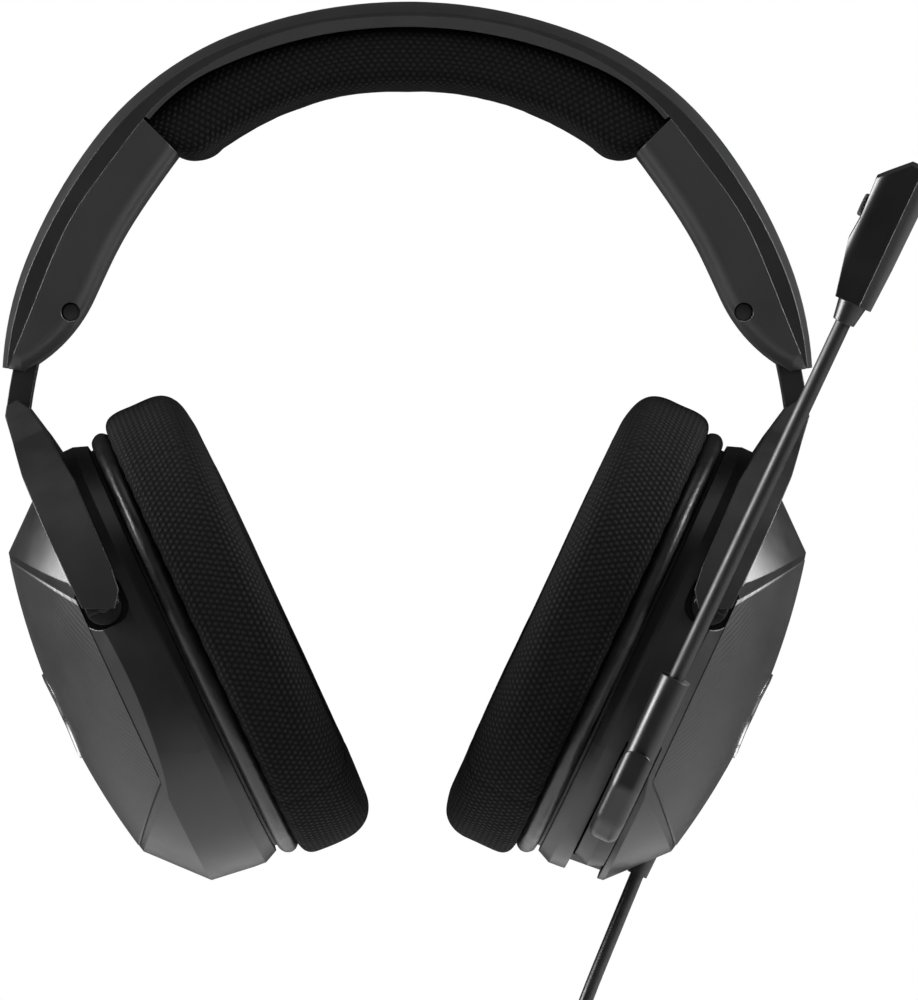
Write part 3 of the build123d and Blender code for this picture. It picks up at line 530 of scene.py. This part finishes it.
def foam():
    """Open-cell foam whose pores are painted dark as painted shade."""
    m = Material("windscreen_foam", 1.0, Sheen_Weight=0.2)
    pores = m.cells(0.45)
    # painted shade: the colour is darkest in the middle of each pore, where the bump sinks it
    m.colour(m.ramp(pores, 0.1, 0.6, 1, 0), grey(0.018), grey(0.003))
    m.bump(pores, 0.25)
    return m


def cloth():
    """Thin felted cloth with a fine square mesh whose holes are painted dark as painted shade."""
    m = Material("ear_cloth", 0.95, Sheen_Weight=0.2)
    holes = m.cells(0.9, random=0.0)
    # painted shade: the colour is darkest in the middle of each hole of the mesh, where the bump sinks it
    m.colour(m.ramp(holes, 0.15, 0.45, 0, 1), grey(0.004), grey(0.02))
    m.bump(holes, 0.12)
    m.bump(m.noise(0.2, 3), 0.05)
    return m


def strap():
    """Hook-and-loop strap: short pile in small tufts."""
    m = Material("tie_strap", 0.9, Sheen_Weight=0.3)
    hooks = m.cells(0.5)
    m.colour(m.ramp(hooks, 0.1, 0.5, 1, 0), grey(0.006), grey(0.03))
    m.bump(hooks, 0.2)
    return m


def laminate():
    """Circuit board: green solder mask with copper tracks under it."""
    m = Material("board_laminate", 0.3)
    tracks = m.ramp(m.math("PINGPONG", m.along((0.7, 0, 0.7)), 0.6), 0.25, 0.35, 0, 1)
    m.colour(tracks, (0.02, 0.12, 0.05), (0.05, 0.2, 0.09))
    m.bump(tracks, 0.03)
    return m


PLUG_SHOULDER = -286.0              # Z where the plug's pin leaves its body
PLUG_RINGS = (2.2, 5.2, 8.2)        # the insulating rings' middles, below the shoulder


def plug_metal():
    """Plated plug pin with three insulating rings, each of 1 mm: COMPARE is 1 within 0.5 of its value."""
    m = Material("plug_metal", 0.18, 1.0)
    down = m.math("SUBTRACT", PLUG_SHOULDER, m.along((0, 0, 1)))
    first, second, third = (m.math("COMPARE", down, middle) for middle in PLUG_RINGS)
    rings = m.math("ADD", m.math("ADD", first, second), third)
    m.colour(rings, (0.5, 0.47, 0.42), (0.02, 0.02, 0.02))
    m.roughness(m.ramp(m.noise(1.5, 3), 0.3, 0.7, 0.14, 0.26))
    m.tree.links.new(m.ramp(rings, 0, 1, 1, 0), m.shader.inputs["Metallic"])
    return m


spring_steel = metal("spring_steel", 0.5, 0.3, (1, 8, 1))
screw_steel = metal("screw_steel", 0.16, 0.34, (1, 1, 6))
driver_metal = metal("driver_metal", 0.4, 0.38, (1, 1, 1))
badge_metal = metal("badge_metal", 0.8, 0.22, (3, 1, 1))
cable_rubber = rubber("cable_rubber", 0.008, 0.36)
boom_rubber = rubber("boom_rubber", 0.004, 0.5)
film = Material("diaphragm_film", 0.2)
film.colour(film.noise(8, 3), grey(0.2), grey(0.32))
film.bump(film.noise(2.5, 2), 0.1)
piping_leatherette = leatherette()
windscreen_foam = foam()
ear_cloth = cloth()
tie_strap = strap()
board_laminate = laminate()
plug_metal_finish = plug_metal()

BY_SLOT = {
    "shell_plastic": shell_plastic, "trim_plastic": trim_plastic, "cover_plastic": cover_plastic,
    "inner_plastic": inner_plastic, "fork_plastic": fork_plastic, "cup_plastic": cup_plastic,
    "mic_plastic": mic_plastic, "mic_cover_plastic": mic_cover_plastic, "wheel_plastic": wheel_plastic,
    "cushion_fabric": cushion_fabric, "pad_fabric": pad_fabric, "piping_leatherette": piping_leatherette,
    "spring_steel": spring_steel, "screw_steel": screw_steel, "driver_metal": driver_metal,
    "badge_metal": badge_metal, "cable_rubber": cable_rubber, "boom_rubber": boom_rubber,
    "diaphragm_film": film, "windscreen_foam": windscreen_foam, "ear_cloth": ear_cloth,
    "tie_strap": tie_strap, "board_laminate": board_laminate, "plug_metal": plug_metal_finish,
}
PLATES = {side: plate_material(sign) for side, sign in SIDES.items()}


def paint(piece, material):
    piece.data.materials.clear()
    piece.data.materials.append(material.made)


SHARP_ANGLE = math.radians(32)


def smooth_by_angle(piece):
    """Smooth shading that keeps the edges sharper than SHARP_ANGLE."""
    mesh = piece.data
    mesh.polygons.foreach_set("use_smooth", [True] * len(mesh.polygons))
    work = bmesh.new()
    work.from_mesh(mesh)
    sharp = [not edge.is_manifold or edge.calc_face_angle(0) > SHARP_ANGLE for edge in work.edges]
    work.free()
    mesh.edges.foreach_set("use_edge_sharp", sharp)


for part in frame["record"]["subparts"]:
    node = nodes[part["node"]]
    slot_name = part["material_slot"]
    side = part["node"].rsplit("_", 1)[-1]
    paint(node, PLATES[side] if slot_name == "plate_plastic" else BY_SLOT[slot_name])
    smooth_by_angle(node)
paint(strap_piece, tie_strap)
paint(cable, cable_rubber)


# ---------------------------------------------------------------- ear cushions
# In the cup's own frame, X runs outwards and 0 is the pivot line.
CUSHION_U = 420                     # points round the cushion
CUSHION_V = 128                     # points round its section
EAR_OVAL = (20.0, 29.5)             # half depth and half height of the ear's opening
CUSHION_OVAL = (43.6, 52.5)         # and of the cushion's outside
CUSHION_WIDTH = 24.0                # about the width between the two
CUSHION_X = -24.6
CUSHION_HALF_THICK = 9.1
HOUSING_SQUARENESS = 6.0            # superellipse power of the section's half on the housing
HEAD_SQUARENESS = 2.9               # and of its half on the head
CUSHION_ROUND = 308.0               # length round the cushion, for its seams
KNIT_ROUND = 308.16                 # length of its cloth
SEAM_PLACES = (0.14, 0.36, 0.64, 0.86)
SEAM_HALF = 0.6
SEAM_DEPTH = 0.16
SEAM_SWELL = 0.05                   # the cloth swells beside a seam
SWELL_PLACE = 2.2
SWELL_HALF = 1.6
GATHERS = 46
GATHER_HEIGHT = 0.1


def cushion_profile():
    """The cushion's section: 0 at the ear opening to 1 outside, and its place along the cup's axis."""
    a = np.linspace(0, 2 * math.pi, DENSE, endpoint=False)
    power = np.where(np.sin(a) > 0, 2 / HOUSING_SQUARENESS, 2 / HEAD_SQUARENESS)
    t = 0.5 + 0.5 * signed_power(np.cos(a), power)
    x = CUSHION_X + CUSHION_HALF_THICK * signed_power(np.sin(a), power)
    section = even(np.stack([t * CUSHION_WIDTH, x], -1), CUSHION_V, closed=True)
    return section[:, 0] / CUSHION_WIDTH, section[:, 1]


def seam_lift(u):
    """How a seam's groove and the swells beside it raise the cushion's surface."""
    lift = np.zeros_like(u)
    for place in SEAM_PLACES:
        distance = ((u - place + 0.5) % 1.0 - 0.5) * CUSHION_ROUND
        swell = np.exp(-((np.abs(distance) - SWELL_PLACE) / SWELL_HALF) ** 2)
        lift = lift - SEAM_DEPTH * np.exp(-(distance / SEAM_HALF) ** 2) + SEAM_SWELL * swell
    return lift


def ear_cushion(side_label, side, seed):
    """Foam ring in knit: crowned section, gathers towards the housing, and seams near its ends."""
    t, x = cushion_profile()
    inner, outer = oval(*EAR_OVAL, CUSHION_U), oval(*CUSHION_OVAL, CUSHION_U)
    ring = inner[:, None, :] * (1 - t[None, :, None]) + outer[:, None, :] * t[None, :, None]
    u = np.arange(CUSHION_U)[:, None] / CUSHION_U
    v = np.arange(CUSHION_V)[None, :] / CUSHION_V
    away = unit(outer - inner)
    section = unit(np.stack([np.gradient(np.append(x, x[:1]))[:-1],
                             -CUSHION_WIDTH * np.gradient(np.append(t, t[:1]))[:-1]], -1))
    lift = 0.12 * smooth_noise(u, v, seed) + 0.05 * smooth_noise(u, v, seed + 1, low=5, high=14)
    gather = np.sin(2 * math.pi * GATHERS * u + 1.3 * np.sin(2 * math.pi * 5 * u))
    back = np.clip((x[None, :] + 20.0) / 4.0, 0, 1)
    lift = lift + GATHER_HEIGHT * gather * back + seam_lift(u)
    points = np.zeros((CUSHION_U, CUSHION_V, 3))
    points[..., 0] = x[None, :] + lift * section[None, :, 1]
    radial = lift * section[None, :, 0]
    points[..., 1] = ring[..., 0] + radial * away[:, None, 0]
    points[..., 2] = ring[..., 1] + radial * away[:, None, 1] + CUP_CENTRE
    steps = np.hypot(np.diff(np.append(t, t[0]) * CUSHION_WIDTH), np.diff(np.append(x, x[0])))
    uv = cloth_places(np.linspace(0, KNIT_ROUND, CUSHION_U + 1), running(steps))
    piece = outward(grid_mesh("ear_cushion_knit_" + side_label, cup_place(points, side), uv))
    paint(piece, cushion_fabric)
    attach(piece, "cup_" + side_label)
    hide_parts("ear_cushion_" + side_label)


for label, sign in SIDES.items():
    ear_cushion(label, sign, 11 if sign > 0 else 23)


# ---------------------------------------------------------------- piping
PIPING_OVAL = (39.7, 47.8)
PIPING_X = -13.7
PIPING_RADIUS = 2.25


def piping(side_label, side, seed):
    """Leatherette roll behind the cushion, with the small creases that a curved roll gathers."""
    count, across = 520, 28
    line = oval(*PIPING_OVAL, count)
    u = np.arange(count)[:, None] / count
    v = np.arange(across)[None, :] / across
    a = 2 * math.pi * v
    along = unit(np.roll(line, -1, axis=0) - np.roll(line, 1, axis=0))
    out_y, out_z = along[:, None, 1], -along[:, None, 0]
    crease = np.abs(smooth_noise(u, v, seed, waves=20, low=2, high=46))
    radius = PIPING_RADIUS + 0.04 * smooth_noise(u, v, seed + 1, low=1, high=9) - 0.05 * crease
    points = np.zeros((count, across, 3))
    points[..., 0] = PIPING_X - radius * np.cos(a)
    points[..., 1] = line[:, None, 0] + radius * np.sin(a) * out_y
    points[..., 2] = line[:, None, 1] + radius * np.sin(a) * out_z + CUP_CENTRE
    piece = outward(grid_mesh("cushion_roll_" + side_label, cup_place(points, side)))
    paint(piece, piping_leatherette)
    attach(piece, "cup_" + side_label)
    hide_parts("cushion_piping_" + side_label)


for label, sign in SIDES.items():
    piping(label, sign, 31 if sign > 0 else 47)


# ---------------------------------------------------------------- headband pad
# In the shared frame, X and Z in millimetres. The pad's lines are drawn from its middle to the left end.
PAD_HALF_WIDTH = 15.4
PAD_THICK = 14.0
PAD_SQUARENESS = 5.5                # superellipse power of the section
PAD_CROWN = 1.1                     # how far the face bulges in its middle
PAD_RISE = 0.8                      # how far the whole pad is moved up against the band
PAD_TOP = 13.1                      # Z of the top line's middle
TOP_END = (42.2, 3.65)
SHOULDER = ((49.4, -0.85), (56.9, -7.5))
UNDER = ((0, 0), (22.2, -3.2), (40.4, -12.5))
ROLL = ((45.6, -15.1), (50.7, -13.8))
CAP_RINGS = (0.82, 0.5, 0.2)        # sizes of the rings that close an end
CAP_CLOTH = 1.4                     # stretch of the knit over an end


def arc_through(first, middle, last, count):
    """Points of the arc through three points."""
    (x1, z1), (x2, z2), (x3, z3) = first, middle, last
    d = 2 * (x1 * (z2 - z3) + x2 * (z3 - z1) + x3 * (z1 - z2))
    s1, s2, s3 = x1**2 + z1**2, x2**2 + z2**2, x3**2 + z3**2
    cx = (s1 * (z2 - z3) + s2 * (z3 - z1) + s3 * (z1 - z2)) / d
    cz = (s1 * (x3 - x2) + s2 * (x1 - x3) + s3 * (x2 - x1)) / d
    r = math.hypot(x1 - cx, z1 - cz)
    angles = np.unwrap([math.atan2(z - cz, x - cx) for x, z in (first, middle, last)])
    turn = np.linspace(angles[0], angles[2], count)
    return np.stack([cx + r * np.cos(turn), cz + r * np.sin(turn)], -1)


def pad_lines():
    """Top and bottom line of the pad from the middle to one end, in X and Z."""
    drop = PAD_TOP - TOP_END[1]
    top_radius = (TOP_END[0]**2 + drop**2) / (2 * drop)
    turn = math.asin(TOP_END[0] / top_radius)
    a = np.linspace(0, turn, 60)
    top = np.stack([top_radius * np.sin(a), PAD_TOP - top_radius * (1 - np.cos(a))], -1)
    top = np.vstack([top, arc_through(TOP_END, *SHOULDER, 24)[1:]])
    under = arc_through(*UNDER, 60)
    under = np.vstack([under, arc_through(UNDER[-1], *ROLL, 24)[1:]])
    return top, under


def close_ends(piece, count, loop):
    """Cap both ends of a tube-like grid with a shrunk ring and a face."""
    work = bmesh.new()
    work.from_mesh(piece.data)
    work.verts.ensure_lookup_table()
    uv_layer = work.loops.layers.uv.active
    rims = [[work.verts[row * loop + k] for k in range(loop)] for row in (0, count - 1)]
    for ring in rims:
        centre = sum((vert.co for vert in ring), Vector()) / loop
        previous = ring
        for share in CAP_RINGS:
            inner = [work.verts.new(centre + (vert.co - centre) * share) for vert in ring]
            for k in range(loop):
                after = (k + 1) % loop
                face = work.faces.new((previous[k], previous[after], inner[after], inner[k]))
                face.smooth = True
                for corner in face.loops:
                    corner[uv_layer].uv = (corner.vert.co.y / MM, corner.vert.co.z / MM * CAP_CLOTH)
            previous = inner
        work.faces.new(previous).smooth = True
    work.to_mesh(piece.data)
    work.free()


def headband_pad():
    """Foam pad in knit: full in the middle of its face, rolled at its ends and pinched at its rims."""
    half, loop = 230, 120
    top, under = (even(line, half) for line in pad_lines())
    top = np.vstack([(top * (-1, 1))[:0:-1], top])
    under = np.vstack([(under * (-1, 1))[:0:-1], under])
    count = len(top)
    a = np.linspace(0, 2 * math.pi, DENSE, endpoint=False)
    outline = np.stack([signed_power(np.cos(a), 2 / PAD_SQUARENESS) * PAD_HALF_WIDTH,
                        signed_power(np.sin(a), 2 / PAD_SQUARENESS) * PAD_THICK / 2], -1)
    section = even(outline, loop, closed=True)
    w, h = section[:, 0], section[:, 1] / PAD_THICK + 0.5
    u = np.linspace(0, 1, count)[:, None]
    v = np.arange(loop)[None, :] / loop
    puff = 0.14 * smooth_noise(u, v, 5) + 0.05 * smooth_noise(u, v, 6, low=6, high=18)
    crown = PAD_CROWN * np.clip(1 - (w / PAD_HALF_WIDTH) ** 2, 0, 1) * (h < 0.5)
    bulge = crown[None, :] - PAD_RISE + puff * (h < 0.9)
    belly = np.sin(np.pi * np.clip(h, 0, 1)) ** 0.7
    to_band = unit(top - under)
    points = np.zeros((count, loop, 3))
    for axis, column in ((0, 0), (2, 1)):
        points[..., axis] = under[:, None, column] + (top - under)[:, None, column] * h[None, :]
        points[..., axis] -= to_band[:, None, column] * bulge
    points[..., 1] = w[None, :] * (1 + 0.03 * belly[None, :]) * 0.985 + puff * 0.5 * np.sign(w)[None, :]
    along = running(np.linalg.norm(np.diff((top + under) / 2, axis=0), axis=1))
    around = running(np.hypot(np.diff(np.append(w, w[0])), PAD_THICK * np.diff(np.append(h, h[0]))))
    uv = cloth_places(np.append(along, along[-1]), around)
    piece = grid_mesh("headband_pad_knit", points * MM, uv, close_u=False)
    close_ends(piece, count, loop)
    outward(piece)
    paint(piece, pad_fabric)
    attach(piece, "head")
    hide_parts("headband_pad")


headband_pad()


# ---------------------------------------------------------------- ear cloth
CLOTH_OVAL = (24.0, 33.5)
CLOTH_X = -15.05
CLOTH_THICK = 0.7


def stretched_cloth(side_label, side, seed):
    """Thin cloth stretched over the driver: flat at its rim and slightly dished over the grille."""
    count, rings = 240, 24
    rim = oval(*CLOTH_OVAL, count)
    r = (np.arange(rings + 1) / rings)[None, :]
    u = np.arange(count)[:, None] / count
    dish = 0.1 * (1 - r**2) + 0.03 * smooth_noise(u, r * 0.5, seed) * (1 - r) * r
    face = np.zeros((count, rings, 3))
    face[..., 0] = (CLOTH_X + dish)[:, 1:]
    face[..., 1] = rim[:, None, 0] * r[:, 1:]
    face[..., 2] = rim[:, None, 1] * r[:, 1:] + CUP_CENTRE
    back = face[:, ::-1].copy()
    back[..., 0] += CLOTH_THICK
    points = np.concatenate([face, back], axis=1)
    flat = np.concatenate([points[..., 1:2], points[..., 2:3] - CUP_CENTRE], -1)
    flat = np.concatenate([flat, flat[:, -1:]], axis=1)
    uv = np.concatenate([flat, flat[:1]], axis=0)
    piece = grid_mesh("ear_cloth_" + side_label, cup_place(points, side), uv, close_v=False)
    cap_sides(piece, count, 2 * rings, uv)
    outward(piece)
    paint(piece, ear_cloth)
    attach(piece, "cup_" + side_label)
    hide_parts("acoustic_cloth_" + side_label)


for label, sign in SIDES.items():
    stretched_cloth(label, sign, 61 if sign > 0 else 73)


# ---------------------------------------------------------------- microphone windscreen
CAPSULE_FOOT = 98.7                 # along the boom's line
WINDSCREEN_UP = 19.8                # above the capsule's foot
WINDSCREEN_X = -5.95


def windscreen():
    """Open-cell foam plug with a domed face."""
    count = 72
    v = np.arange(count)[:, None] / count
    a = 2 * math.pi * v
    corner = np.linspace(0.2, 1.57, 8)
    profile = np.concatenate([
        np.stack([np.linspace(0.15, 2.0, 8), np.full(8, -1.62)], -1),
        np.stack([2.0 + 0.55 * np.sin(corner), -1.07 - 0.55 * np.cos(corner)], -1),
        np.stack([np.full(6, 2.55), np.linspace(-0.8, 1.35, 6)], -1),
        np.stack([np.linspace(2.4, 0.15, 8), np.full(8, 1.45)], -1)])
    rings = len(profile)
    radius, height = profile[None, :, 0], profile[None, :, 1]
    grain = smooth_noise(v, np.arange(rings)[None, :] / rings, 91, waves=60, low=4, high=30)
    r = radius * (1 + 0.02 * grain)
    local = np.zeros((count, rings, 3))
    local[..., 0] = WINDSCREEN_X + height - 0.05 * np.clip(1 - (radius / 2) ** 2, 0, 1)
    local[..., 1] = r * np.cos(a)
    local[..., 2] = r * np.sin(a) + CAPSULE_FOOT + WINDSCREEN_UP
    piece = grid_mesh("windscreen_foam", cup_place(boom_place(local), 1), close_v=False)
    cap_sides(piece, count, rings)
    outward(piece)
    paint(piece, windscreen_foam)
    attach(piece, "microphone")
    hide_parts("mic_windscreen")


windscreen()


# ---------------------------------------------------------------- world, lights, floor
WORLD_LIGHT = 0.035
LIGHT_SPREAD = math.radians(70)
LIGHT_AIM = (0, 0, -0.09)
LIGHTS = [                          # name, place, size and power in watts
    ("side_light_left", (1.0, -0.1, 0.2), 0.6, 5.5),
    ("side_light_right", (-1.0, -0.1, 0.2), 0.6, 5.5),
    ("top_light", (0.0, -0.1, 1.2), 0.9, 0.35),
    ("front_light", (0.1, -1.8, 0.6), 1.6, 0.4),
]
FLOOR_HALF = 0.5
FLOOR_HEIGHT = -0.34

world = bpy.data.worlds.new("studio")
scene.world = world
world.use_nodes = True
tree = world.node_tree
tree.nodes.clear()
seen, lit = tree.nodes.new("ShaderNodeBackground"), tree.nodes.new("ShaderNodeBackground")
for background, strength in ((seen, 1.0), (lit, WORLD_LIGHT)):
    background.inputs["Color"].default_value = (1, 1, 1, 1)
    background.inputs["Strength"].default_value = strength
mix, rays = tree.nodes.new("ShaderNodeMixShader"), tree.nodes.new("ShaderNodeLightPath")
out = tree.nodes.new("ShaderNodeOutputWorld")
tree.links.new(rays.outputs["Is Camera Ray"], mix.inputs[0])
tree.links.new(lit.outputs[0], mix.inputs[1])
tree.links.new(seen.outputs[0], mix.inputs[2])
tree.links.new(mix.outputs[0], out.inputs["Surface"])
scene.view_settings.view_transform = "Standard"

for name, place, size, power in LIGHTS:
    lamp = bpy.data.lights.new(name, "AREA")
    lamp.size = size
    lamp.energy = power
    lamp.spread = LIGHT_SPREAD
    light = bpy.data.objects.new(name, lamp)
    scene.collection.objects.link(light)
    light.location = place
    light.rotation_euler = (Vector(LIGHT_AIM) - Vector(place)).to_track_quat("-Z", "Y").to_euler()

floor_mesh = bpy.data.meshes.new("floor")
floor_mesh.from_pydata([(x * FLOOR_HALF, y * FLOOR_HALF, FLOOR_HEIGHT)
                        for x, y in ((-1, -1), (1, -1), (1, 1), (-1, 1))], [], [(0, 1, 2, 3)])
floor = bpy.data.objects.new("floor", floor_mesh)
scene.collection.objects.link(floor)
floor_finish = Material("floor", 0.8)
floor_finish.colour(floor_finish.noise(200, 2), (0.86, 0.86, 0.86), (0.9, 0.9, 0.9))
paint(floor, floor_finish)
